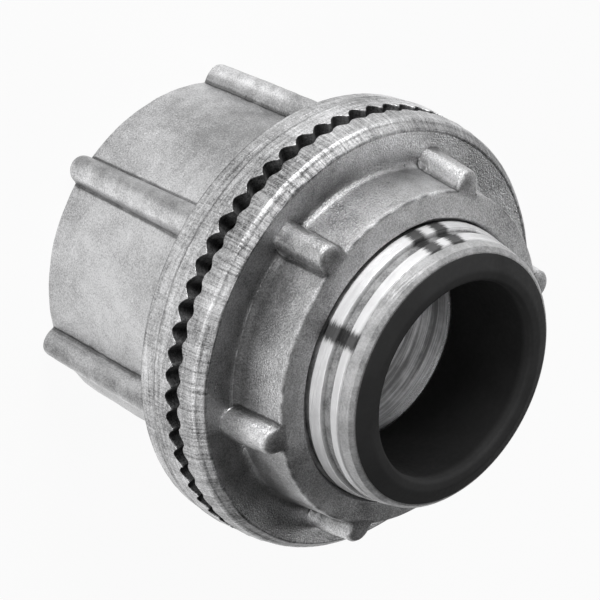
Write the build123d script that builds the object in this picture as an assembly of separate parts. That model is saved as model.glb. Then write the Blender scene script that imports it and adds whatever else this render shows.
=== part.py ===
from build123d import *
import os
from math import pi

# Watertight conduit hub for a one inch rigid conduit, standing on its conduit end.
# Lengths are in millimetres, angles in degrees. +Z is the axis, from the conduit socket
# at z = 0 up to the insulated throat. The first cast rib of the socket points along +X.

# Conduit socket: a ribbed cylinder, threaded inside for the conduit
socket_height = 24.8
socket_radius = 21.3
socket_draft = 0.1
socket_edge_round = 0.4
thread_minor_radius = 15.0
thread_length = 21.3
thread_mouth_chamfer = 1.2
thread_relief_depth = 0.4
thread_relief_length = 1.6
stop_round = 1.1

# Ribs cast on the socket
socket_rib_count = 6
socket_rib_width = 3.4
socket_rib_height = 2.5
socket_rib_taper = 0.7
socket_rib_end_round = 1.0
socket_rib_root_depth = 1.2

# Flange with the toothed rim, and the recess for the sealing ring
flange_thickness = 5.4
flange_rim_radius = 26.7
flange_parting_bulge = 0.15
flange_parting_height = 2.6
flange_back_round = 0.4
flange_root_round = 1.4
tooth_count = 64
tooth_depth = 1.1
tooth_land = 0.3
tooth_phase = 1.36
rim_band_width = 2.2
recess_depth = 2.5

# Threaded nipple, drawn at the crests of its thread, with a lead that narrows to its end
nipple_radius = 16.57
nipple_wall = 3.17
nipple_reach = 16.7
nipple_lead_length = 4.0
nipple_lead_depth = 1.0
nipple_end_chamfer = 0.5

# Sealing ring of rubber in the recess
ring_thickness = 2.9
ring_edge_round = 0.4
ring_clearance = 0.25

# Insulating liner of the throat
liner_wall = 1.5
liner_flange_width = 3.05
liner_edge_thickness = 0.1
liner_crown_height = 0.8
liner_crown_width = 0.8
liner_throat_round = 0.5
liner_sleeve_length = 12.2
liner_clearance = 0.1

# Locknut: a rim of rounded bumps, a plain flange and a ribbed boss
panel_gap = 1.0
nut_clearance = 0.3
nut_rim_inset = 0.1
nut_rim_height = 2.0
nut_rim_draft = 0.5
nut_flange_thickness = 3.2
nut_shoulder_chamfer = 0.8
nut_face_dish = 0.5
nut_back_recess = 1.0
nut_height = 9.9
nut_boss_wall = 3.1
nut_boss_draft = 0.8
nut_boss_edge_round = 0.9
nut_boss_root_round = 1.0
nut_bore_chamfer = 0.6
bump_depth = 0.65
bump_land = 0.35

# Ribs cast on the boss of the locknut
nut_rib_count = 6
nut_rib_width = 3.1
nut_rib_height = 2.3
nut_rib_taper = 2.0
nut_rib_end_drop = 0.4
nut_rib_end_round = 0.7
nut_rib_root_depth = 1.0
nut_rib_foot_depth = 0.5
nut_turn = -8.8

# How far the cuts between teeth reach past what they cut
cut_margin = 1.0

# Heights that the pieces share
tip_z = socket_height + flange_thickness
recess_z = tip_z - recess_depth
nipple_end_z = tip_z + nipple_reach
sleeve_end_z = nipple_end_z - liner_sleeve_length
nut_back_z = tip_z + panel_gap
nut_face_z = nut_back_z + nut_flange_thickness
nut_front_z = nut_back_z + nut_height

# Radii that the pieces share
recess_radius = flange_rim_radius - rim_band_width
nut_rim_radius = flange_rim_radius - nut_rim_inset
liner_seat_radius = nipple_radius - nipple_wall
sleeve_radius = liner_seat_radius - liner_clearance
throat_radius = sleeve_radius - liner_wall
nut_bore_radius = nipple_radius + nut_clearance
nut_boss_radius = nut_bore_radius + nut_boss_wall


def revolved(corners):
    """A solid of revolution about Z from corners given as (radius, height, corner round)."""
    points = [(radius, 0, height) for radius, height, _ in corners]
    rounds = [corner_round for _, _, corner_round in corners]
    return revolve(make_face(FilletPolyline(*points, radius=rounds, close=True)), axis=Axis.Z)


def around(piece, count, start=0.0):
    """Copies of a piece evenly spaced about Z."""
    return [Rot(0, 0, start + 360 / count * k) * piece for k in range(count)]


def radial_prism(outline, inner_radius, outer_radius):
    """A prism along +X whose section is an outline of edges in the YZ plane."""
    section = Pos(inner_radius, 0, 0) * make_face(outline)
    return extrude(section, amount=outer_radius - inner_radius, dir=(1, 0, 0))


def tooth_gap():
    """The straight sided V between two teeth of the flange rim."""
    half_width = pi * flange_rim_radius / tooth_count - tooth_land / 2
    above = tip_z + cut_margin
    outline = Polyline(
        (0, -half_width, above),
        (0, -half_width, tip_z),
        (0, 0, tip_z - tooth_depth),
        (0, half_width, tip_z),
        (0, half_width, above),
        close=True,
    )
    inner_radius = recess_radius - rim_band_width / 2
    outer_radius = flange_rim_radius + flange_parting_bulge + cut_margin
    return radial_prism(outline, inner_radius, outer_radius)


def bump_gap():
    """The hollow between two rounded bumps of the locknut rim."""
    half_width = pi * nut_rim_radius / tooth_count - bump_land / 2
    half_floor = half_width * 0.5
    below = nut_back_z - cut_margin
    shoulder_z = nut_back_z + bump_depth * 0.6
    side = ThreePointArc(
        (0, half_width, nut_back_z),
        (0, half_width * 0.8, nut_back_z + bump_depth * 0.22),
        (0, half_floor, shoulder_z),
    )
    floor = ThreePointArc(
        (0, half_floor, shoulder_z),
        (0, 0, nut_back_z + bump_depth),
        (0, -half_floor, shoulder_z),
    )
    lid = Polyline(
        (0, -half_width, nut_back_z),
        (0, -half_width, below),
        (0, half_width, below),
        (0, half_width, nut_back_z),
    )
    outline = [side, floor, mirror(side, about=Plane.XZ), lid]
    inner_radius = nut_rim_radius - rim_band_width * 1.5
    return radial_prism(outline, inner_radius, nut_rim_radius + cut_margin)


def rib_section(width, wall_radius, height, root_depth):
    """Section of a cast rib that stands on a round wall, with a half round crest."""
    crest_radius = width / 2
    centre = wall_radius + height - crest_radius
    root = wall_radius - root_depth
    return make_face(
        [
            Line((root, -crest_radius), (centre, -crest_radius)),
            ThreePointArc(
                (centre, -crest_radius),
                (centre + crest_radius, 0),
                (centre, crest_radius),
            ),
            Polyline((centre, crest_radius), (root, crest_radius), (root, -crest_radius)),
        ]
    )


def crest_edges(face):
    """The half round edge of a rib's end face."""
    return face.edges().filter_by(GeomType.LINE, reverse=True)


def socket_rib():
    """A rib of the socket, from its rounded end at the conduit mouth into the flange."""
    section = rib_section(socket_rib_width, socket_radius, socket_rib_height, socket_rib_root_depth)
    rib = extrude(section, amount=socket_height + flange_back_round, taper=-socket_rib_taper)
    return fillet(crest_edges(rib.faces().sort_by(Axis.Z)[0]), socket_rib_end_round)


def nut_rib():
    """A short rib on the locknut's boss, from the dished face to just under the front edge."""
    foot_z = nut_face_z - nut_face_dish - nut_rib_foot_depth
    top_z = nut_front_z - nut_rib_end_drop
    section = rib_section(nut_rib_width, nut_boss_radius, nut_rib_height, nut_rib_root_depth)
    rib = extrude(Pos(0, 0, foot_z) * section, amount=top_z - foot_z, taper=nut_rib_taper)
    return fillet(crest_edges(rib.faces().sort_by(Axis.Z)[-1]), nut_rib_end_round)


def hub_body():
    """The casting: threaded socket, ribs, toothed flange and nipple in one piece."""
    relief_radius = thread_minor_radius + thread_relief_depth
    stop_z = thread_length + thread_relief_length
    parting_z = socket_height + flange_parting_height
    lead_radius = nipple_radius - nipple_lead_depth
    turned = revolved(
        [
            (thread_minor_radius, thread_mouth_chamfer, 0),
            (thread_minor_radius + thread_mouth_chamfer, 0, 0),
            (socket_radius, 0, socket_edge_round),
            (socket_radius + socket_draft, socket_height, flange_root_round),
            (flange_rim_radius, socket_height, flange_back_round),
            (flange_rim_radius + flange_parting_bulge, parting_z, 0),
            (flange_rim_radius, tip_z, 0),
            (recess_radius, tip_z, 0),
            (recess_radius, recess_z, 0),
            (nipple_radius, recess_z, 0),
            (nipple_radius, nipple_end_z - nipple_lead_length, 0),
            (lead_radius, nipple_end_z - nipple_end_chamfer, 0),
            (lead_radius - nipple_end_chamfer, nipple_end_z, 0),
            (liner_seat_radius, nipple_end_z, 0),
            (liner_seat_radius, sleeve_end_z - liner_clearance, 0),
            (throat_radius, sleeve_end_z - liner_clearance, 0),
            (throat_radius, stop_z, stop_round),
            (relief_radius, stop_z, 0),
            (relief_radius, thread_length, 0),
            (thread_minor_radius, thread_length, 0),
        ]
    )
    casting = turned + around(socket_rib(), socket_rib_count)
    return casting - around(tooth_gap(), tooth_count, tooth_phase)


def sealing_ring():
    """The rubber ring that lies in the flange's recess and stands a little proud of the teeth."""
    inner = nipple_radius + ring_clearance
    outer = recess_radius - ring_clearance
    top = recess_z + ring_thickness
    return revolved(
        [
            (inner, recess_z, 0),
            (outer, recess_z, 0),
            (outer, top, ring_edge_round),
            (inner, top, ring_edge_round),
        ]
    )


def throat_liner():
    """The insulating liner: a sleeve inside the nipple with a low crowned flange over its end."""
    flange_radius = throat_radius + liner_flange_width
    edge_z = nipple_end_z + liner_edge_thickness
    crown_z = nipple_end_z + liner_crown_height
    return revolved(
        [
            (throat_radius, sleeve_end_z, 0),
            (sleeve_radius, sleeve_end_z, 0),
            (sleeve_radius, nipple_end_z, 0),
            (flange_radius, nipple_end_z, 0),
            (flange_radius, edge_z, 0),
            (throat_radius + liner_throat_round + liner_crown_width, crown_z, 0),
            (throat_radius, crown_z, liner_throat_round),
        ]
    )


def locknut():
    """The locknut: bumped rim, dished flange and ribbed boss round a running bore."""
    rim_top_radius = nut_rim_radius - nut_rim_draft
    shoulder_radius = rim_top_radius - nut_shoulder_chamfer
    boss_root_radius = nut_boss_radius + nut_boss_draft
    back_face_z = nut_back_z + nut_back_recess
    turned = revolved(
        [
            (nut_bore_radius, back_face_z + nut_bore_chamfer, 0),
            (nut_bore_radius + nut_bore_chamfer, back_face_z, 0),
            (nut_rim_radius - rim_band_width, back_face_z, 0),
            (nut_rim_radius - rim_band_width, nut_back_z, 0),
            (nut_rim_radius, nut_back_z, 0),
            (rim_top_radius, nut_back_z + nut_rim_height, 0),
            (shoulder_radius, nut_face_z, 0),
            (boss_root_radius, nut_face_z - nut_face_dish, nut_boss_root_round),
            (nut_boss_radius, nut_front_z, nut_boss_edge_round),
            (nut_bore_radius + nut_bore_chamfer, nut_front_z, 0),
            (nut_bore_radius, nut_front_z - nut_bore_chamfer, 0),
        ]
    )
    casting = turned + around(nut_rib(), nut_rib_count, nut_turn)
    return casting - around(bump_gap(), tooth_count, tooth_phase)


os.makedirs("parts", exist_ok=True)
for make_piece in (hub_body, sealing_ring, throat_liner, locknut):
    export_step(make_piece(), f"parts/{make_piece.__name__}.step")
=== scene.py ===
import math

import bpy
import numpy as np
from mathutils import Matrix, Vector


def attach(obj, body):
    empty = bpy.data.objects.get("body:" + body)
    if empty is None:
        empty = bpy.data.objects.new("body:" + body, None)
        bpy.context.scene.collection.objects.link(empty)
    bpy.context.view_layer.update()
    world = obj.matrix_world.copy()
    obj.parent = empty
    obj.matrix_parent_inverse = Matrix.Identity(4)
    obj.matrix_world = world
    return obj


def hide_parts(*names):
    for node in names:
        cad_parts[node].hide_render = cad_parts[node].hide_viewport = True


# A watertight conduit hub standing on its conduit end, seen from above and to one side by a
# camera rolled so far that its axis runs down to the right of the picture. The outlines are
# in millimetres and become metres as the meshes are made.

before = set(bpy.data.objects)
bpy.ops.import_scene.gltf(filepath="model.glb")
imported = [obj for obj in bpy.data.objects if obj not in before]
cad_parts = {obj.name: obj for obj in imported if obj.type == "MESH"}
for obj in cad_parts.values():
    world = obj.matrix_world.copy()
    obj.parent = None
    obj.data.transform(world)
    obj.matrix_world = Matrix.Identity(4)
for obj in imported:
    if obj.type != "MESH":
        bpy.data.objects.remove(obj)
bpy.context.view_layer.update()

MM = 0.001
TURN = 2 * math.pi

# Camera, from a fit of the hub's coaxial circles
CAMERA_AZIMUTH = 66.82
CAMERA_ELEVATION = 42.03
CAMERA_ROLL = 116.66
CAMERA_DISTANCE = 0.2607
CAMERA_TARGET = (0.00029, -0.00011, 0.0211)
CAMERA_LENS = 132.0

# Studio: middle of its dark side, strength of its light, glow of the floor where it is seen
DARK_AZIMUTH = 234.7
DARK_ELEVATION = 45
STUDIO_LIGHT = 0.4
FLOOR_GLOW = 0.94

# Lamps: azimuth and elevation, distance and size in metres, watts
LAMPS = {
    "key": (16, 16, 0.5, 0.22, 1.5),
    "fill": (112, 18, 0.6, 0.3, 0.7),
    "top": (275, 38, 0.35, 0.16, 0.25),
}

# Conduit socket and its ribs
SOCKET_HEIGHT = 24.8
SOCKET_RADIUS = 21.3
SOCKET_DRAFT = 0.1
SOCKET_RIBS = tuple(range(0, 360, 60))
SOCKET_RIB_HALF_WIDTH = 1.7
SOCKET_RIB_HEIGHT = 2.3
SOCKET_RIB_DRAFT = 0.012
SOCKET_RIB_END_ROUND = 0.8
THREAD_MINOR_RADIUS = 15.0
THREAD_MAJOR_RADIUS = 16.3
THREAD_LENGTH = 21.3
THREAD_MOUTH_CHAMFER = 1.2
CONDUIT_PITCH = 2.2
RELIEF_RADIUS = 15.4
STOP_Z = 22.9

# Toothed flange and its recess. Its outside is trimmed to a step below the parting line,
# with a lip above it. The tips are raised a little over TIP_Z, which narrows the gap.
RIM_RADIUS = 26.7
PARTING_BULGE = 0.15
PARTING_Z = 27.4
PARTING_STEP_HEIGHT = 0.75
PARTING_STEP_DEPTH = 0.13
PARTING_LIP = 0.06
TIP_Z = 30.2
TIP_RAISE = 0.12
TOOTH_DEPTH = 1.1
TOOTH_COUNT = 64
TOOTH_PHASE = math.radians(1.36)
RIM_BAND = 2.2
RECESS_Z = 27.7

# Nipple and its thread. The places of the dark blocks, partly tarnish and partly painted
# reflection, and their reach to each side are in degrees.
NIPPLE_RADIUS = 16.57
NIPPLE_END_Z = 46.9
NIPPLE_LEAD_LENGTH = 4.0
NIPPLE_LEAD_DEPTH = 1.0
NIPPLE_CHAMFER = 0.5
THREAD_PITCH = 2.8
THREAD_DEPTH = 0.55
THREAD_CREST = 0.536
THREAD_START_Z = 41.35
THREAD_MIDDLE = math.radians(95)
THREAD_WOBBLE = 0.6
THREAD_RUN_OUT_Z = 45.05
THREAD_TARNISH_AND_REFLECTIONS = (71, 7, 19, 196, 255, 301)
THREAD_TARNISH_AND_REFLECTION_REACH = 4.4
FIRST_CREST_LEAN = 0.3
PLAIN_END_DEPTH = 0.1
RUN_OUT_LINE_DEPTH = 0.12
PLAIN_END_DULLNESS = 0.75
MOUTH_DULLNESS = 0.9

# Liner and sealing ring
THROAT_RADIUS = 11.8
SLEEVE_RADIUS = 13.3
SEAT_RADIUS = 13.4
SLEEVE_END_Z = 34.7
LINER_FLANGE_RADIUS = 14.85
LINER_CROWN = 0.8
RING_TOP_Z = 30.6
RING_CLEARANCE = 0.25

# Locknut. The azimuth of the painted shade at the boss's root and its reach to each side are in
# degrees.
NUT_BORE_RADIUS = 16.7
NUT_BACK_Z = 31.2
NUT_HOLLOW_Z = NUT_BACK_Z + 1.0
NUT_RIM_RADIUS = 26.6
NUT_BOSS_RADIUS = 19.97
NUT_FACE_Z = 34.4
NUT_FRONT_Z = 41.1
NUT_RIBS = tuple(-8.8 + 60 * k for k in range(6))
NUT_RIB_HALF_WIDTH = 1.55
NUT_RIB_HEIGHT = 2.3
NUT_RIB_DRAFT = 0.03
NUT_RIB_END_ROUND = 0.6
NUT_RIB_END_SLOPE = 2.2
NUT_BOSS_DRAFT = 0.1
NUT_PARTING_Z = NUT_BACK_Z + 2.35
NUT_PARTING_DEPTH = 0.1
BUMP_DEPTH = 0.5
BUMP_DROP = 0.12
BOSS_SHADE_AZIMUTH = 84
BOSS_SHADE_REACH = 34

# Corners at which two swept pieces meet
MOUTH_SEAM = (THREAD_MINOR_RADIUS + THREAD_MOUTH_CHAMFER, 0, 0)
THROAT_SEAM = (THROAT_RADIUS, SLEEVE_END_Z - 0.1, 0)
NUT_FACE_SEAM = (NUT_RIM_RADIUS - 1.7, NUT_FACE_Z - 0.1, 0)
NUT_HOLLOW_SEAM = (NUT_BORE_RADIUS + 0.6, NUT_HOLLOW_Z, 0)


def rounded_outline(corners, run_step, round_step=0.12, fine=None):
    """Points (radius, height) along an outline whose corners are (radius, height, round).

    Fine gives (lowest radius, lowest height, step) of the part that gets closer points."""
    corners = np.array(corners, dtype=float)
    points = [corners[0, :2]]
    for before, here, after in zip(corners[:-2], corners[1:-1], corners[2:]):
        corner, radius = here[:2], here[2]
        back = before[:2] - corner
        ahead = after[:2] - corner
        back /= np.linalg.norm(back)
        ahead /= np.linalg.norm(ahead)
        half = math.acos(np.clip(back @ ahead, -1, 1)) / 2
        if radius == 0 or half > math.radians(89):
            points.append(corner)
            continue
        inward = (back + ahead) / np.linalg.norm(back + ahead)
        centre = corner + inward * radius / math.sin(half)
        start = corner + back * radius / math.tan(half) - centre
        end = corner + ahead * radius / math.tan(half) - centre
        turn = math.pi - 2 * half
        count = max(3, math.ceil(radius * turn / round_step))
        for k in range(count + 1):
            share = k / count
            arm = math.sin((1 - share) * turn) * start + math.sin(share * turn) * end
            points.append(centre + arm / math.sin(turn))
    points.append(corners[-1, :2])
    dense = [points[0]]
    for here, there in zip(points[:-1], points[1:]):
        step = run_step
        if fine and max(here[0], there[0]) > fine[0] and max(here[1], there[1]) > fine[1]:
            step = fine[2]
        count = max(1, math.ceil(np.linalg.norm(there - here) / step))
        for k in range(1, count + 1):
            dense.append(here + (there - here) * k / count)
    return np.array(dense)


def surface_normals(points):
    """Unit normals, out of the solid, of a grid whose columns close round the axis."""
    along = np.gradient(points, axis=0)
    across = np.roll(points, -1, axis=1) - np.roll(points, 1, axis=1)
    normal = np.cross(across, along)
    return normal / np.maximum(np.linalg.norm(normal, axis=-1, keepdims=True), 1e-9)


def standing_out(points, row_rounds, column_rounds):
    """Millimetres that each point stands out of its smoothed surroundings.

    It is less than 0 in creases. The rounds say how widely the surroundings are smoothed."""
    smooth = points.copy()
    for _ in range(column_rounds):
        smooth = (np.roll(smooth, 1, axis=1) + 2 * smooth + np.roll(smooth, -1, axis=1)) / 4
    for _ in range(row_rounds):
        smooth[1:-1] = (smooth[:-2] + 2 * smooth[1:-1] + smooth[2:]) / 4
    return ((points - smooth) * surface_normals(points)).sum(axis=-1)


def swept_mesh(name, outline, columns, warp=None, phase=0.0, shade=None, tarnish_reflection_matte=None):
    """A surface swept about Z from an outline that keeps the solid on its left.

    Its points carry three values. "relief" is how far they stand out. "shade" is 1 where
    painted shadow and shade lie, on dark lines and pits, on dull metal of the nipple, and on
    the liner's inside as painted shade. The last is 1 where the nipple has dark blocks, partly
    tarnish and partly painted reflection, or where a casting's metal is rougher. The functions
    for these two are given the outline's own radius and height, from before the warp."""
    theta = phase + np.arange(columns) * TURN / columns
    radius = np.repeat(outline[:, :1], columns, axis=1)
    height = np.repeat(outline[:, 1:], columns, axis=1)
    theta = np.broadcast_to(theta, radius.shape)
    shades = shade(theta, radius, height) if shade else np.zeros(radius.shape)
    tarnish_reflection_matte_values = tarnish_reflection_matte(theta, radius, height) if tarnish_reflection_matte else np.zeros(radius.shape)
    if warp is not None:
        radius, height = warp(theta, radius, height)
    points = np.stack([radius * np.cos(theta), radius * np.sin(theta), height], axis=-1)
    index = np.arange(radius.size).reshape(radius.shape)
    turned = np.roll(index, -1, axis=1)
    faces = np.stack([index[:-1], turned[:-1], turned[1:], index[1:]], axis=-1).reshape(-1, 4)
    mesh = bpy.data.meshes.new(name)
    mesh.from_pydata((points.reshape(-1, 3) * MM).tolist(), [], faces.tolist())
    mesh.polygons.foreach_set("use_smooth", [True] * len(faces))
    column_rounds = max(2, round(columns / 100))
    relief = standing_out(points, 2, column_rounds)
    for title, values in (("relief", relief), ("shade", shades), ("tarnish_reflection_matte", tarnish_reflection_matte_values)):
        layer = mesh.attributes.new(title, "FLOAT", "POINT")
        layer.data.foreach_set("value", values.ravel().astype(np.float32))
    mesh.update()
    piece = bpy.data.objects.new(name, mesh)
    bpy.context.scene.collection.objects.link(piece)
    return piece


def ramp(value, start, length):
    """0 at the start and 1 from a length further on, which lies below it if less than 0."""
    return np.clip((value - start) / length, 0, 1)


def bell(value, middle, width):
    """1 at the middle and near 0 from twice the width away."""
    return np.exp(-(((value - middle) / width) ** 2))


def half_round(across, half_width):
    """Height of a half-round rib at a distance across from its middle."""
    return np.sqrt(np.clip(half_width**2 - across**2, 0, None))


def rounded_drop(distance, radius):
    """How far a rounded end has dropped at a distance into its round."""
    distance = np.clip(distance, 0, radius)
    return radius - np.sqrt(radius**2 - distance**2)


def smooth_max(a, b, blend):
    """The larger of two values, with the corner between them filled over a width of blend."""
    share = np.clip(0.5 + 0.5 * (a - b) / blend, 0, 1)
    return a * share + b * (1 - share) + blend * share * (1 - share)


def ragged(theta, cells, seed):
    """Smooth random values from -1 to 1 round the axis, cells of them in a turn."""
    values = np.random.default_rng(seed).uniform(-1, 1, cells)
    place = (theta / TURN * cells) % cells
    low = np.floor(place).astype(int) % cells
    share = place - np.floor(place)
    share = share * share * (3 - 2 * share)
    return values[low] * (1 - share) + values[(low + 1) % cells] * share


def from_places(theta, places):
    """Angle from the nearest of the places, which are given in degrees."""
    turns = np.stack([theta - math.radians(place) for place in places])
    turns = (turns + math.pi) % TURN - math.pi
    nearest = np.abs(turns).argmin(axis=0)
    return np.take_along_axis(turns, nearest[None], axis=0)[0]


def from_tooth_gap(theta):
    """Distance from the nearest tooth gap, 0 at its middle to 1 at the tooth tips."""
    pitch = TURN / TOOTH_COUNT
    away = (theta - TOOTH_PHASE + pitch / 2) % pitch - pitch / 2
    return np.abs(away) / (pitch / 2)


def warp_socket(theta, radius, height):
    """Raises the cast ribs out of the socket's wall, with rounded ends at the conduit mouth."""
    across = from_places(theta, SOCKET_RIBS) * SOCKET_RADIUS
    half_width = SOCKET_RIB_HALF_WIDTH + SOCKET_RIB_DRAFT * height
    end_drop = rounded_drop(SOCKET_RIB_END_ROUND - height, SOCKET_RIB_END_ROUND)
    bulge = half_round(across, half_width)
    wall = SOCKET_RADIUS + SOCKET_DRAFT * height / SOCKET_HEIGHT
    crest = wall + bulge * SOCKET_RIB_HEIGHT / half_width - end_drop
    on_rib = (radius > SOCKET_RADIUS - 0.9) & (bulge > 0) & (height < SOCKET_HEIGHT)
    radius = np.where(on_rib, smooth_max(crest, radius, 0.6), radius)
    waves = 0.04 * ragged(theta + height / 30, 46, 3) + 0.03 * ragged(theta - height / 11, 90, 4)
    return radius + waves * (radius > SOCKET_RADIUS - 0.5), height


def parting_lines(theta):
    """Heights of the trimmed step's lower and upper edges, and its depth's share."""
    lower = PARTING_Z - PARTING_STEP_HEIGHT
    lower = lower + 0.12 * ragged(theta, 36, 5) + 0.05 * ragged(theta, 150, 6)
    upper = PARTING_Z + 0.1 * ragged(theta, 30, 7) + 0.05 * ragged(theta, 210, 8)
    return lower, upper, np.clip(0.75 + 0.5 * ragged(theta, 48, 9), 0, 1)


def warp_flange(theta, radius, height):
    """Cuts the teeth into the rim and the trimmed step, with its lip, into the outside."""
    away = from_tooth_gap(theta)
    ragged_tips = (0.12 * ragged(theta, 640, 11) - 0.05) * away**3
    depth = TOOTH_DEPTH * (1 - away**1.7)
    low = TIP_Z - TOOTH_DEPTH - 0.5
    top = TIP_Z + TIP_RAISE - depth + ragged_tips
    squeezed = low + (height - low) * (top - low) / (TIP_Z - low)
    on_rim = (height > low) & (radius > RIM_RADIUS - RIM_BAND - 0.01)
    outside = radius > RIM_RADIUS - 0.05
    lower, upper, trimmed = parting_lines(theta)
    step = PARTING_STEP_DEPTH * trimmed * (ramp(height, lower, 0.1) - ramp(height, upper, 0.1))
    lip = PARTING_LIP * bell(height, upper + 0.2, 0.16)
    rough = 0.02 * ragged(theta, 240, 10)
    return radius + outside * (lip + rough - step), np.where(on_rim, squeezed, height)


def warp_nut_rim(theta, radius, height):
    """Presses the hollows between the bumps into the locknut's rim and trims its upper part."""
    away = from_tooth_gap(theta)
    hollow = (0.5 + 0.5 * np.cos(math.pi * away)) ** 1.3
    high = NUT_BACK_Z + 1.5
    bottom = NUT_BACK_Z - BUMP_DROP + BUMP_DEPTH * hollow + 0.04 * ragged(theta, 500, 21)
    squeezed = high - (high - height) * (high - bottom) / (high - NUT_BACK_Z)
    on_rim = (height < high) & (radius > NUT_RIM_RADIUS - RIM_BAND - 0.01)
    line = NUT_PARTING_Z + 0.1 * ragged(theta, 44, 22) + 0.03 * ragged(theta, 170, 23)
    trimmed = np.clip(0.7 + 0.6 * ragged(theta, 60, 24), 0.1, 1)
    step = NUT_PARTING_DEPTH * trimmed * ramp(height, line, 0.12)
    outside = radius > NUT_RIM_RADIUS - 1.35
    rough = 0.012 * ragged(theta + height / 9, 300, 25)
    return radius + outside * (rough - step), np.where(on_rim, squeezed, height)


def warp_nut_boss(theta, radius, height):
    """Raises the ribs on the locknut's boss, from the dished face to just under its front edge."""
    across = from_places(theta, NUT_RIBS) * (NUT_BOSS_RADIUS + 1)
    half_width = NUT_RIB_HALF_WIDTH + NUT_RIB_DRAFT * (NUT_FRONT_Z - height)
    bulge = half_round(across, half_width)
    rib_top = NUT_FRONT_Z - 0.45
    end_drop = rounded_drop(height - rib_top + NUT_RIB_END_ROUND, NUT_RIB_END_ROUND)
    rise = (NUT_RIB_HEIGHT - NUT_RIB_HALF_WIDTH) * (bulge > 0)
    wall = NUT_BOSS_RADIUS + NUT_BOSS_DRAFT * (NUT_FRONT_Z - height)
    crest = wall + bulge + rise - NUT_RIB_END_SLOPE * end_drop
    on_boss = (height < rib_top + 0.05) & (radius > NUT_BOSS_RADIUS - 1.0) & (bulge > 0)
    ribbed = smooth_max(crest, radius, 0.35)
    radius = np.where(on_boss & (radius < NUT_RIM_RADIUS - 1.5), ribbed, radius)
    waves = 0.04 * ragged(theta + height / 25, 40, 31)
    return radius + waves, height


def thread_place(theta, height):
    """Place in the thread's pitch: a flat crest up to THREAD_CREST, then its groove up to 1.

    The helix closes, but it rises slower round THREAD_MIDDLE and faster behind it."""
    away = theta - THREAD_MIDDLE
    turn = (away - THREAD_WOBBLE * np.sin(away)) / TURN
    return ((height - THREAD_START_Z) / THREAD_PITCH - turn) % 1.0


def outside_nipple(radius):
    """Whether a place on the nipple's outline is on its outside, not on its end or bore."""
    return radius > NIPPLE_RADIUS - NIPPLE_LEAD_DEPTH - 0.05


def warp_nipple(theta, radius, height):
    """Cuts the thread's grooves, steep on one side, and the plain end past its run-out."""
    place = thread_place(theta, height)
    share = ramp(place, THREAD_CREST, 1 - THREAD_CREST)
    groove = ramp(share, 0, 0.1) * (1 - 0.5 * share) * ramp(share, 1, -0.08)
    past = ramp(height, THREAD_RUN_OUT_Z, 0.08)
    line = bell(height, THREAD_RUN_OUT_Z + 0.08, 0.07)
    depth = THREAD_DEPTH * groove * (1 - past) + PLAIN_END_DEPTH * past
    lean = ramp(height, THREAD_START_Z, 1.6) * ramp(height, NIPPLE_END_Z - NIPPLE_CHAMFER, -3.5)
    depth = depth + RUN_OUT_LINE_DEPTH * line + FIRST_CREST_LEAN * lean
    rough = (0.012 + 0.02 * past) * ragged(theta + height, 160, 41)
    return np.where(outside_nipple(radius), radius - depth + rough, radius), height


def dull_on_nipple(theta, radius, height):
    """Dull grooves between the bright crests, and the dull end past the run-out."""
    place = thread_place(theta, height)
    groove = ramp(place, THREAD_CREST, 0.03) * ramp(place, 1, -0.03)
    past = ramp(height, THREAD_RUN_OUT_Z, 0.1)
    dull = np.maximum(groove * (1 - past), PLAIN_END_DULLNESS * past)
    return np.where(outside_nipple(radius), dull, MOUTH_DULLNESS)


def tarnish_and_reflection_on_nipple(theta, radius, height):
    """Dark blocks across the crests, partly tarnish and partly painted reflection, between the
    locknut's front and the run-out.
    """
    away = np.degrees(np.abs(from_places(theta, THREAD_TARNISH_AND_REFLECTIONS)))
    edge = THREAD_TARNISH_AND_REFLECTION_REACH + 0.8 * ragged(theta + height, 120, 42)
    below = ramp(height, THREAD_RUN_OUT_Z + 0.3, -0.1)
    bare = ramp(height, NUT_FRONT_Z - 0.8, 0.5)
    return ramp(away, edge, -1.8) * below * bare


def warp_bore(theta, radius, height):
    """Cuts the tapered conduit thread into the socket's bore."""
    inside = (height > THREAD_MOUTH_CHAMFER * 0.6) & (height < THREAD_LENGTH)
    taper = 1 - 0.5 * height / THREAD_LENGTH
    depth = (THREAD_MAJOR_RADIUS - THREAD_MINOR_RADIUS) * taper
    place = (height / CONDUIT_PITCH - theta / TURN) % 1.0
    wave = 1 - np.abs(2 * place - 1)
    cut = np.maximum(radius, THREAD_MINOR_RADIUS + depth * wave)
    return np.where(inside, cut, radius), height


def make_socket():
    outline = rounded_outline(
        [
            MOUTH_SEAM,
            (SOCKET_RADIUS, 0, 0.4),
            (SOCKET_RADIUS + SOCKET_DRAFT, SOCKET_HEIGHT, 0),
            (SOCKET_RADIUS + SOCKET_DRAFT + 0.05, SOCKET_HEIGHT + 0.1, 0),
        ],
        run_step=0.42,
    )

    def painted_flank_shade(theta, radius, height):
        """Painted shade on both flanks of each rib, and in patches along their feet."""
        across = from_places(theta, SOCKET_RIBS) * SOCKET_RADIUS
        beside = np.abs(across) - SOCKET_RIB_HALF_WIDTH
        on_rib = ramp(beside, 0.15, -0.2) * (radius > SOCKET_RADIUS - 0.3)
        wide_flank = ramp(across, 0.35, -0.8)
        narrow_flank = ramp(across, 1.25, 0.3)
        foot = bell(beside, 0.25, 0.22) * np.clip(0.5 + ragged(height / 4, 20, 61), 0, 1)
        return np.maximum(on_rib * (0.55 * wide_flank + 0.5 * narrow_flank), 0.6 * foot)

    return swept_mesh("socket_casting", outline, 1200, warp_socket, shade=painted_flank_shade)


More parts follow.
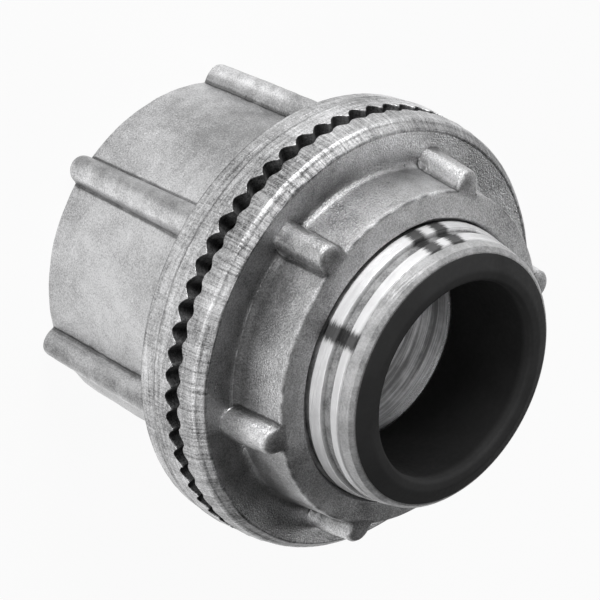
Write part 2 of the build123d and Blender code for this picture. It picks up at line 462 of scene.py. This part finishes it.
def make_flange():
    recess_radius = RIM_RADIUS - RIM_BAND
    outline = rounded_outline(
        [
            (SOCKET_RADIUS, SOCKET_HEIGHT, 0),
            (RIM_RADIUS, SOCKET_HEIGHT, 0.4),
            (RIM_RADIUS + PARTING_BULGE, PARTING_Z, 0),
            (RIM_RADIUS, TIP_Z, 0.06),
            (recess_radius, TIP_Z, 0.15),
            (recess_radius, RECESS_Z, 0.3),
            (NIPPLE_RADIUS - 0.5, RECESS_Z, 0),
        ],
        run_step=0.6,
        round_step=0.1,
        fine=(recess_radius + 0.1, SOCKET_HEIGHT + 0.5, 0.15),
    )

    def painted_shadow_and_darkening(theta, radius, height):
        """Painted shadow on the teeth's top and inside and on the back edge, and dark lines along
        the step's two edges.
        """
        lower, upper, trimmed = parting_lines(theta)
        line = bell(height, upper, 0.2) * (0.4 + 0.5 * trimmed)
        thin = bell(height, lower, 0.16) * (0.4 * trimmed)
        # The teeth's top and inside get a painted shadow, as of the gap under the locknut.
        under = (height > RECESS_Z + 0.2) & (radius < RIM_RADIUS - 0.08)
        # The back edge gets a painted shadow where the flange meets the socket.
        back_edge = 0.85 * ramp(height, SOCKET_HEIGHT + 0.42, -0.2)
        marks = np.maximum(line, thin) * (radius > RIM_RADIUS - 0.1)
        return np.where(under, 1.0, np.maximum(marks, back_edge))

    return swept_mesh("flange_casting", outline, TOOTH_COUNT * 16, warp_flange, TOOTH_PHASE, painted_shadow_and_darkening)


def make_nipple():
    lead_radius = NIPPLE_RADIUS - NIPPLE_LEAD_DEPTH
    outline = rounded_outline(
        [
            (NIPPLE_RADIUS, RECESS_Z - 0.2, 0),
            (NIPPLE_RADIUS, NUT_FRONT_Z - 1, 0),
            (NIPPLE_RADIUS, NIPPLE_END_Z - NIPPLE_LEAD_LENGTH, 0),
            (lead_radius, NIPPLE_END_Z - NIPPLE_CHAMFER, 0.1),
            (lead_radius - NIPPLE_CHAMFER, NIPPLE_END_Z, 0.12),
            (SEAT_RADIUS, NIPPLE_END_Z, 0.1),
            (SEAT_RADIUS, SLEEVE_END_Z - 0.1, 0),
            THROAT_SEAM,
        ],
        run_step=0.24,
        round_step=0.05,
        fine=(lead_radius - 0.6, NUT_FRONT_Z - 1, 0.07),
    )
    return swept_mesh(
        "nipple_thread", outline, 400, warp_nipple, shade=dull_on_nipple, tarnish_reflection_matte=tarnish_and_reflection_on_nipple
    )


def make_bore():
    outline = rounded_outline(
        [
            THROAT_SEAM,
            (THROAT_RADIUS, STOP_Z, 1.1),
            (RELIEF_RADIUS, STOP_Z, 0),
            (RELIEF_RADIUS, THREAD_LENGTH, 0),
            (THREAD_MINOR_RADIUS, THREAD_LENGTH, 0),
            (THREAD_MINOR_RADIUS, THREAD_MOUTH_CHAMFER, 0),
            MOUTH_SEAM,
        ],
        run_step=0.14,
    )
    return swept_mesh("socket_bore", outline, 240, warp_bore)


def make_nut_rim():
    band_radius = NUT_RIM_RADIUS - RIM_BAND
    outline = rounded_outline(
        [
            NUT_HOLLOW_SEAM,
            (band_radius, NUT_HOLLOW_Z, 0.3),
            (band_radius, NUT_BACK_Z, 0.25),
            (NUT_RIM_RADIUS, NUT_BACK_Z, 0.12),
            (NUT_RIM_RADIUS - 0.4, NUT_BACK_Z + 2.0, 0.3),
            (NUT_RIM_RADIUS - 1.3, NUT_FACE_Z, 0.3),
            NUT_FACE_SEAM,
        ],
        run_step=0.5,
        round_step=0.1,
        fine=(band_radius + 0.1, NUT_BACK_Z - 0.1, 0.13),
    )

    def painted_shadow_and_darkening(theta, radius, height):
        """Painted shadow on the underside, in the gap over the flange's teeth; the face and the
        lower part of the outside a little darker.
        """
        # Painted shadow on the underside.
        under = (height < NUT_BACK_Z + 1.2) & (radius < NUT_RIM_RADIUS - 0.45)
        wall = 0.16 * ramp(height, NUT_BACK_Z + 1.6, -0.5)
        return np.where(under, 1.0, np.where(height > NUT_BACK_Z + 2.3, 0.3, wall))

    def matte(theta, radius, height):
        """Rougher metal on the face."""
        return 0.7 * ramp(height, NUT_BACK_Z + 2.0, 0.3)

    return swept_mesh(
        "locknut_rim", outline, TOOTH_COUNT * 16, warp_nut_rim, TOOTH_PHASE, painted_shadow_and_darkening, matte
    )


def make_nut_boss():
    lip = NUT_BORE_RADIUS + 0.35
    outline = rounded_outline(
        [
            NUT_FACE_SEAM,
            (NUT_BOSS_RADIUS + 0.8, NUT_FACE_Z - 0.5, 1.0),
            (NUT_BOSS_RADIUS, NUT_FRONT_Z - 0.35, 0.5),
            (lip, NUT_FRONT_Z, 0.15),
            (NUT_BORE_RADIUS, NUT_FRONT_Z - 0.6, 0.1),
            (NUT_BORE_RADIUS, NUT_HOLLOW_Z + 0.6, 0.1),
            NUT_HOLLOW_SEAM,
        ],
        run_step=0.32,
        round_step=0.1,
    )

    def matte(theta, radius, height):
        """Rougher metal on the front."""
        return ramp(height, NUT_FRONT_Z - 1.0, 0.4)

    def painted_shade_and_pits(theta, radius, height):
        """Painted shade at the boss's root, strongest round one azimuth, pits along its front
        edge, and the ribs' ends darkened as painted shade.
        """
        away = np.degrees(np.abs(from_places(theta, (BOSS_SHADE_AZIMUTH,))))
        # Painted shade at the root, strongest round one azimuth.
        strength = 0.2 + 0.75 * ramp(away, BOSS_SHADE_REACH, -12)
        on_side = (radius < NUT_BOSS_RADIUS + 1.2) & (radius > NUT_BOSS_RADIUS - 0.5)
        root_shade = strength * ramp(height, NUT_FACE_Z + 4.6, -3.6) * on_side
        edge = bell(radius, NUT_BOSS_RADIUS - 0.12, 0.14) * (height > NUT_FRONT_Z - 0.7)
        pits = np.clip(0.45 + 0.8 * ragged(theta, 130, 51), 0, 0.9)
        # The ribs' ends darkened: painted shade.
        on_rib = np.abs(from_places(theta, NUT_RIBS)) * NUT_BOSS_RADIUS < NUT_RIB_HALF_WIDTH + 0.1
        rib_end = on_rib * on_side * ramp(height, NUT_FRONT_Z - 1.3, 0.4)
        return np.maximum(np.maximum(root_shade, edge * pits), 0.5 * rib_end)

    return swept_mesh("locknut_boss", outline, 960, warp_nut_boss, shade=painted_shade_and_pits, tarnish_reflection_matte=matte)


def make_liner():
    crown_z = NIPPLE_END_Z + LINER_CROWN
    outline = rounded_outline(
        [
            (THROAT_RADIUS, SLEEVE_END_Z + 4, 0),
            (THROAT_RADIUS, SLEEVE_END_Z, 0.2),
            (SLEEVE_RADIUS, SLEEVE_END_Z, 0.1),
            (SLEEVE_RADIUS, NIPPLE_END_Z, 0),
            (LINER_FLANGE_RADIUS, NIPPLE_END_Z, 0.05),
            (LINER_FLANGE_RADIUS, NIPPLE_END_Z + 0.1, 0.04),
            (THROAT_RADIUS + 1.3, crown_z, 1.2),
            (THROAT_RADIUS, crown_z - 0.1, 0.5),
            (THROAT_RADIUS, SLEEVE_END_Z + 4, 0),
        ],
        run_step=0.4,
        round_step=0.08,
    )

    def painted_inside_shade(theta, radius, height):
        """Painted shade on the throat's wall below the rounded mouth."""
        return ramp(height, crown_z - 1.0, -0.6) * (radius < THROAT_RADIUS + 0.3)

    return swept_mesh("liner_moulding", outline, 256, shade=painted_inside_shade)


def make_ring():
    inner = NIPPLE_RADIUS + RING_CLEARANCE
    outer = RIM_RADIUS - RIM_BAND - RING_CLEARANCE
    middle = (inner + outer) / 2
    outline = rounded_outline(
        [
            (middle, RECESS_Z, 0),
            (outer, RECESS_Z, 0.1),
            (outer, RING_TOP_Z, 0.4),
            (inner, RING_TOP_Z, 0.4),
            (inner, RECESS_Z, 0.1),
            (middle, RECESS_Z, 0),
        ],
        run_step=0.5,
    )
    return swept_mesh("sealing_ring_moulding", outline, 256)


class Nodes:
    """Short calls for building a material's node tree."""

    def __init__(self, name):
        self.material = bpy.data.materials.new(name)
        self.material.use_nodes = True
        self.tree = self.material.node_tree
        self.shader = self.tree.nodes["Principled BSDF"]

    def add(self, kind, links=(), **values):
        node = self.tree.nodes.new(kind)
        for key, value in values.items():
            setattr(node, key, value)
        for socket, value in links:
            if isinstance(value, bpy.types.NodeSocket):
                self.tree.links.new(value, node.inputs[socket])
            else:
                node.inputs[socket].default_value = value
        return node

    def math(self, operation, first, second=0.0, third=0.0):
        links = [(0, first), (1, second), (2, third)]
        return self.add("ShaderNodeMath", links, operation=operation).outputs[0]

    def position(self):
        return self.add("ShaderNodeTexCoord").outputs["Object"]

    def attribute(self, name):
        return self.add("ShaderNodeAttribute", attribute_name=name).outputs["Fac"]

    def noise(self, scale, vector=None, detail=3.0, roughness=0.5, contrast=0.16):
        """Noise from 0 to 1, spread out to a fuller contrast than it comes with."""
        links = [("Scale", scale), ("Detail", detail), ("Roughness", roughness)]
        links.append(("Vector", vector if vector is not None else self.position()))
        value = self.add("ShaderNodeTexNoise", links).outputs["Fac"]
        return self.spread(value, 0.5 - contrast, 0.5 + contrast)

    def spread(self, value, low, high, new_low=0.0, new_high=1.0):
        """The value's range from low to high spread over the new one, and held there."""
        links = [("Value", value), ("From Min", low), ("From Max", high)]
        links += [("To Min", new_low), ("To Max", new_high)]
        return self.add("ShaderNodeMapRange", links, clamp=True).outputs["Result"]

    def scaled(self, value, mask, factor, low=0.0, high=1.0):
        """The value where the mask is low, going over to its factor where the mask is high."""
        return self.math("MULTIPLY", value, self.spread(mask, low, high, 1.0, factor))

    def mixed(self, *shares):
        """The sum of values, each times its share."""
        total = 0.0
        for value, share in shares:
            total = self.math("MULTIPLY_ADD", value, share, total)
        return total

    def around(self, turn_scale, radius_scale, height_scale):
        """Coordinates round the axis: angle, radius and height, each scaled."""
        parts = self.add("ShaderNodeSeparateXYZ", [(0, self.position())]).outputs
        angle = self.math("ARCTAN2", parts["Y"], parts["X"])
        flat = self.add("ShaderNodeCombineXYZ", [("X", parts["X"]), ("Y", parts["Y"])])
        radius = self.add("ShaderNodeVectorMath", [(0, flat.outputs[0])], operation="LENGTH")
        links = [("X", self.math("MULTIPLY", angle, turn_scale))]
        links.append(("Y", self.math("MULTIPLY", radius.outputs["Value"], radius_scale)))
        links.append(("Z", self.math("MULTIPLY", parts["Z"], height_scale)))
        return self.add("ShaderNodeCombineXYZ", links).outputs[0]

    def grey(self, value):
        """A grey that leans a hair to blue."""
        links = [("Red", value), ("Green", value), ("Blue", self.math("MULTIPLY", value, 1.01))]
        return self.add("ShaderNodeCombineColor", links).outputs[0]

    def bump(self, height, distance, strength, below=None):
        """A normal bent by the height, over an earlier bump's normal where one is given."""
        links = [("Height", height), ("Distance", distance), ("Strength", strength)]
        if below is not None:
            links.append(("Normal", below))
        return self.add("ShaderNodeBump", links).outputs["Normal"]

    def link(self, value, socket):
        self.tree.links.new(value, self.shader.inputs[socket])


def cast_zinc(name, dark, light, axial=0.0, hoop=0.0):
    """Die-cast zinc: fine grain and soft mottling, creases darkened as painted shade, ridges
    lightened as wear and painted highlight.

    Axial and hoop are the shares of short scratches along the axis and of lines round it."""
    n = Nodes(name)
    n.shader.inputs["Metallic"].default_value = 1.0
    mottle = n.noise(70, detail=4.0)
    patches = n.noise(430, detail=5.0, roughness=0.62)
    grain = n.noise(5200, detail=2.0, roughness=0.7, contrast=0.2)
    tone = n.mixed((mottle, 0.36), (patches, 0.18), (grain, 0.46))
    height = grain
    if axial:
        scratches = n.noise(1.0, n.around(105, 60, 170), detail=3.0, roughness=0.75)
        tone = n.mixed((tone, 1 - axial), (scratches, axial))
        height = n.mixed((height, 0.4), (scratches, 0.9))
    if hoop:
        lines = n.noise(1.0, n.around(5, 2400, 2400), detail=3.0, roughness=0.6)
        tone = n.mixed((tone, 1 - hoop), (lines, hoop))
        height = n.mixed((height, 0.7), (lines, 0.4))
    relief = n.mixed((n.attribute("relief"), 1.0), (n.math("SUBTRACT", patches, 0.5), 0.035))
    crease_shade = n.spread(relief, -0.02, -0.09)
    ridge_wear_and_highlight = n.spread(relief, 0.02, 0.07)
    base = n.spread(tone, 0.24, 0.76, dark, light)
    # Creases darkened: painted shade. Ridges lightened: wear, and painted highlights.
    base = n.scaled(base, crease_shade, 0.4)
    base = n.scaled(base, ridge_wear_and_highlight, 1.4)
    # The shade attribute darkens: painted shadow and shade, with dark lines and pits.
    painted_shade_and_marks = n.attribute("shade")
    base = n.scaled(base, painted_shade_and_marks, 0.3)
    n.link(n.grey(base), "Base Color")
    rough = n.spread(patches, 0.0, 1.0, 0.27, 0.4)
    rough = n.mixed((rough, 1.0), (n.attribute("tarnish_reflection_matte"), 0.25))
    n.link(n.math("MAXIMUM", rough, n.spread(painted_shade_and_marks, 0.3, 1.0, 0.0, 0.8)), "Roughness")
    dents = n.bump(patches, 0.00012, 0.2)
    n.link(n.bump(height, 0.00008, 0.5, dents), "Normal")
    return n.material


def threaded_zinc(name):
    """The nipple: crests turned bright, dull grooves and end, dark blocks of tarnish and painted
    reflection, and creases with painted shade.
    """
    n = Nodes(name)
    n.shader.inputs["Metallic"].default_value = 0.25
    lines = n.noise(1.0, n.around(1.2, 900, 900), detail=2.0, roughness=0.6)
    specks = n.noise(3600, detail=3.0, roughness=0.75)
    patches = n.noise(500, detail=4.0, roughness=0.6)
    bright = n.spread(n.mixed((lines, 0.6), (patches, 0.4)), 0.2, 0.8, 0.82, 0.98)
    dull = n.spread(n.mixed((specks, 0.5), (patches, 0.5)), 0.2, 0.8, 0.2, 0.5)
    dulled = n.attribute("shade")
    base = n.math("MULTIPLY_ADD", n.math("SUBTRACT", dull, bright), dulled, bright)
    # Dark blocks across the crests: partly tarnish, partly painted reflection.
    base = n.scaled(base, n.attribute("tarnish_reflection_matte"), 0.1)
    # The thread's creases darkened as painted shade.
    base = n.scaled(base, n.attribute("relief"), 0.2, -0.012, -0.06)
    n.link(n.grey(base), "Base Color")
    n.link(n.spread(dulled, 0.0, 1.0, 0.2, 0.42), "Roughness")
    n.link(n.bump(n.mixed((specks, 0.7), (lines, 0.3)), 0.00004, 0.35), "Normal")
    return n.material


def bored_zinc(name):
    """The bore: fine turning lines round the axis in lighter and darker bands."""
    n = Nodes(name)
    n.shader.inputs["Metallic"].default_value = 1.0
    lines = n.noise(1.0, n.around(0.8, 3200, 3200), detail=3.0, roughness=0.75)
    bands = n.noise(1.0, n.around(0.6, 420, 420), detail=2.0, contrast=0.12)
    tarnish_reflection_matte_values = n.noise(600, detail=4.0, roughness=0.65)
    tone = n.mixed((lines, 0.4), (bands, 0.45), (tarnish_reflection_matte_values, 0.15))
    n.link(n.grey(n.spread(tone, 0.25, 0.75, 0.26, 0.98)), "Base Color")
    n.link(n.spread(bands, 0.0, 1.0, 0.42, 0.26), "Roughness")
    n.link(n.bump(lines, 0.00003, 0.4), "Normal")
    return n.material


def black_plastic(name, tone, roughness, grain_scale, grain_depth):
    """Black nylon or rubber with a faint moulded grain, and painted shade inside the liner."""
    n = Nodes(name)
    inside = n.attribute("shade")
    # Inside the liner, painted shade: a darker colour and a weaker reflection.
    n.link(n.spread(inside, 0.0, 1.0, 0.25, 0.14), "Specular IOR Level")
    grain = n.noise(grain_scale, detail=3.0)
    cloud = n.noise(180, detail=3.0)
    base = n.spread(cloud, 0.0, 1.0, tone * 0.85, tone * 1.2)
    base = n.scaled(base, inside, 0.55)
    n.link(n.grey(base), "Base Color")
    n.link(n.spread(grain, 0.0, 1.0, roughness * 0.92, roughness * 1.08), "Roughness")
    n.link(n.bump(grain, grain_depth, 0.3), "Normal")
    return n.material


def dress(piece, node, body, material):
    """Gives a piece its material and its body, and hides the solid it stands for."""
    piece.data.materials.append(material)
    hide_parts(node)
    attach(piece, body)


def make_object():
    casting = cast_zinc("cast_zinc", 0.28, 0.72)
    rim = cast_zinc("rim_zinc", 0.16, 0.94, axial=0.16, hoop=0.2)
    nut_rim = cast_zinc("nut_rim_zinc", 0.12, 0.84, axial=0.3, hoop=0.1)
    thread = threaded_zinc("threaded_zinc")
    bore = bored_zinc("bored_zinc")
    dress(make_socket(), "hub_body", "hub", casting)
    dress(make_flange(), "hub_body", "hub", rim)
    dress(make_nipple(), "hub_body", "hub", thread)
    dress(make_bore(), "hub_body", "hub", bore)
    dress(make_nut_rim(), "locknut", "nut", nut_rim)
    dress(make_nut_boss(), "locknut", "nut", casting)
    nylon = black_plastic("black_nylon", 0.03, 0.75, 1800, 0.00001)
    dress(make_liner(), "throat_liner", "hub", nylon)
    rubber = black_plastic("black_rubber", 0.01, 0.85, 1400, 0.00002)
    dress(make_ring(), "sealing_ring", "hub", rubber)


def seen_directly(tree):
    """1 for the rays that show the background itself: camera, glossy and transmission rays."""
    path = tree.nodes.new("ShaderNodeLightPath")
    total = path.outputs["Is Camera Ray"]
    for name in ("Is Glossy Ray", "Is Transmission Ray"):
        add = tree.nodes.new("ShaderNodeMath")
        add.operation = "MAXIMUM"
        tree.links.new(total, add.inputs[0])
        tree.links.new(path.outputs[name], add.inputs[1])
        total = add.outputs[0]
    return total


def make_floor():
    """A matt floor that shows as the near white background where it is seen directly."""
    half = 3.0
    corners = [(-half, -half, 0), (half, -half, 0), (half, half, 0), (-half, half, 0)]
    mesh = bpy.data.meshes.new("studio_floor")
    mesh.from_pydata(corners, [], [(0, 1, 2, 3)])
    floor = bpy.data.objects.new("studio_floor", mesh)
    bpy.context.scene.collection.objects.link(floor)
    material = bpy.data.materials.new("floor_white")
    material.use_nodes = True
    tree = material.node_tree
    shader = tree.nodes["Principled BSDF"]
    shader.inputs["Base Color"].default_value = (0.85, 0.85, 0.85, 1)
    shader.inputs["Roughness"].default_value = 0.9
    glow = tree.nodes.new("ShaderNodeEmission")
    glow.inputs["Color"].default_value = (1, 1, 1, 1)
    seen = tree.nodes.new("ShaderNodeMath")
    seen.operation = "MULTIPLY"
    seen.inputs[1].default_value = FLOOR_GLOW
    tree.links.new(seen_directly(tree), seen.inputs[0])
    mix = tree.nodes.new("ShaderNodeMixShader")
    tree.links.new(seen.outputs[0], mix.inputs["Fac"])
    tree.links.new(shader.outputs[0], mix.inputs[1])
    tree.links.new(glow.outputs[0], mix.inputs[2])
    tree.links.new(mix.outputs[0], tree.nodes["Material Output"].inputs["Surface"])
    mesh.materials.append(material)


def from_angles(azimuth, elevation):
    """Unit vector towards an azimuth and elevation given in degrees."""
    a, e = math.radians(azimuth), math.radians(elevation)
    return Vector((math.cos(e) * math.cos(a), math.cos(e) * math.sin(a), math.sin(e)))


def make_lamp(name, azimuth, elevation, distance, size, watts):
    """A soft square lamp that faces the hub."""
    light = bpy.data.lights.new(name, "AREA")
    light.shape = "SQUARE"
    light.size = size
    light.energy = watts
    lamp = bpy.data.objects.new(name, light)
    bpy.context.scene.collection.objects.link(lamp)
    target = Vector(CAMERA_TARGET)
    lamp.location = target + from_angles(azimuth, elevation) * distance
    lamp.rotation_euler = (target - lamp.location).to_track_quat("-Z", "Y").to_euler()


def make_world():
    """A white studio that darkens overhead behind the hub, away from the lamps."""
    world = bpy.data.worlds.new("studio")
    world.use_nodes = True
    tree = world.node_tree
    ground = tree.nodes["Background"]
    direction = tree.nodes.new("ShaderNodeTexCoord")
    facing = tree.nodes.new("ShaderNodeVectorMath")
    facing.operation = "DOT_PRODUCT"
    facing.inputs[1].default_value = from_angles(DARK_AZIMUTH, DARK_ELEVATION)
    tree.links.new(direction.outputs["Generated"], facing.inputs[0])
    shade = tree.nodes.new("ShaderNodeMapRange")
    shade.interpolation_type = "SMOOTHSTEP"
    ranges = {"From Min": -0.3, "From Max": 0.7, "To Min": 1.0, "To Max": 0.05}
    for socket, value in ranges.items():
        shade.inputs[socket].default_value = value
    tree.links.new(facing.outputs["Value"], shade.inputs["Value"])
    tree.links.new(shade.outputs["Result"], ground.inputs["Color"])
    strength = tree.nodes.new("ShaderNodeMapRange")
    strength.inputs["To Min"].default_value = STUDIO_LIGHT
    strength.inputs["To Max"].default_value = 1.0
    tree.links.new(seen_directly(tree), strength.inputs["Value"])
    tree.links.new(strength.outputs["Result"], ground.inputs["Strength"])
    bpy.context.scene.world = world


def make_camera():
    """The photograph's camera, turned about its line of sight by CAMERA_ROLL."""
    data = bpy.data.cameras.new("camera")
    data.lens = CAMERA_LENS
    data.sensor_width = 36
    data.clip_start = 0.01
    camera = bpy.data.objects.new("camera", data)
    bpy.context.scene.collection.objects.link(camera)
    backward = from_angles(CAMERA_AZIMUTH, CAMERA_ELEVATION)
    level = Vector((0, 0, 1)).cross(backward).normalized()
    above = backward.cross(level)
    roll = math.radians(CAMERA_ROLL)
    right = math.cos(roll) * level + math.sin(roll) * above
    up = backward.cross(right)
    turn = Matrix((right, up, backward)).transposed()
    place = Vector(CAMERA_TARGET) + backward * CAMERA_DISTANCE
    camera.matrix_world = Matrix.Translation(place) @ turn.to_4x4()
    bpy.context.scene.camera = camera


make_object()
make_floor()
make_world()
for lamp_name, lamp_figures in LAMPS.items():
    make_lamp(lamp_name, *lamp_figures)
make_camera()
bpy.context.scene.view_settings.view_transform = "Standard"
